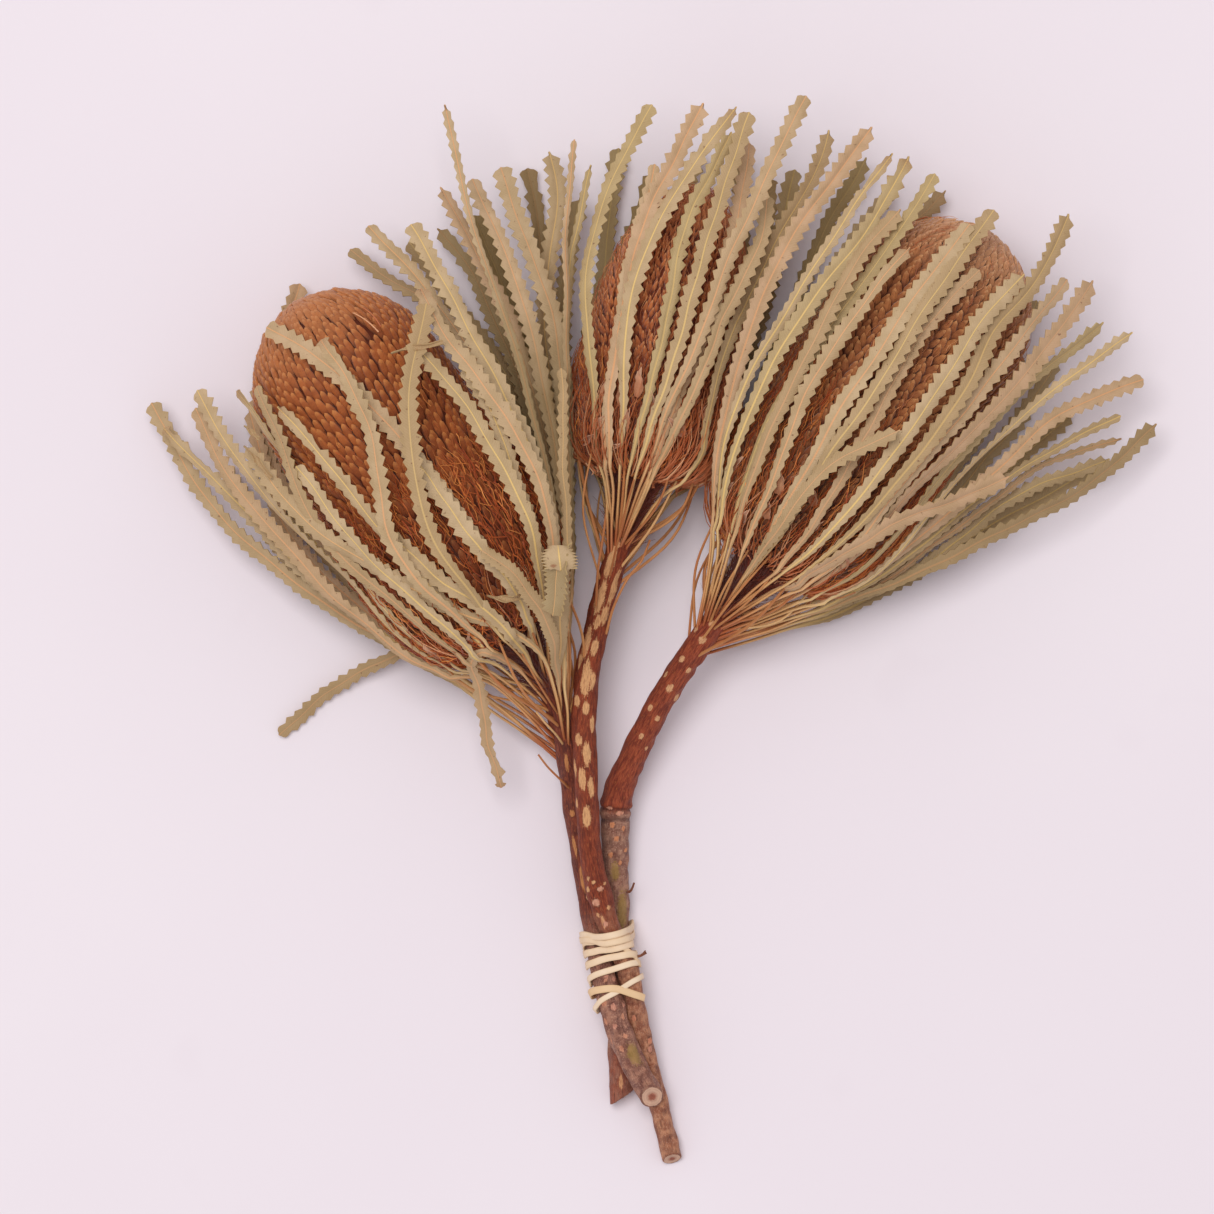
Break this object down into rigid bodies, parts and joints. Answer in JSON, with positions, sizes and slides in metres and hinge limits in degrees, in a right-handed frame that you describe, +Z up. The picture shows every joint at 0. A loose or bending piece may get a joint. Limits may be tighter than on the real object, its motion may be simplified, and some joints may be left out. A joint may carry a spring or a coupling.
{
  "type": "dried banksia bunch",
  "caption": "Bunch of dried banksia flower heads on leafy woody stems, tied near the cut ends with a flat elastic band and lying on its side.",
  "frame": {"origin": "centre of the bounding box in plan, on the surface that the bunch lies on", "axes": "+Y from the cut stem ends towards the flower heads, +Z up from the surface, +X to the right when seen from above with the heads away from the viewer"},
  "size_m": [0.3862, 0.4068, 0.0936],
  "materials": {
    "dried_leaf": "dry, matt, leathery, with a paler midrib",
    "bark": "dry red-brown bark with pale leaf scars",
    "floret_orange": "dry, fibrous, matt orange-brown",
    "floret_rust": "dry, fibrous, matt rust",
    "floret_brown": "dry, fibrous, matt brown with a frosted top",
    "elastic": "satin cream rubber"
  },
  "bodies": {
    "root": {"leafy_stem_left": "dried_leaf", "leafy_stem_middle": "dried_leaf", "leafy_stem_right": "dried_leaf", "cone_left": "floret_orange", "cone_middle": "floret_rust", "cone_right": "floret_brown", "tie_band": "elastic"}
  },
  "joints": []
}
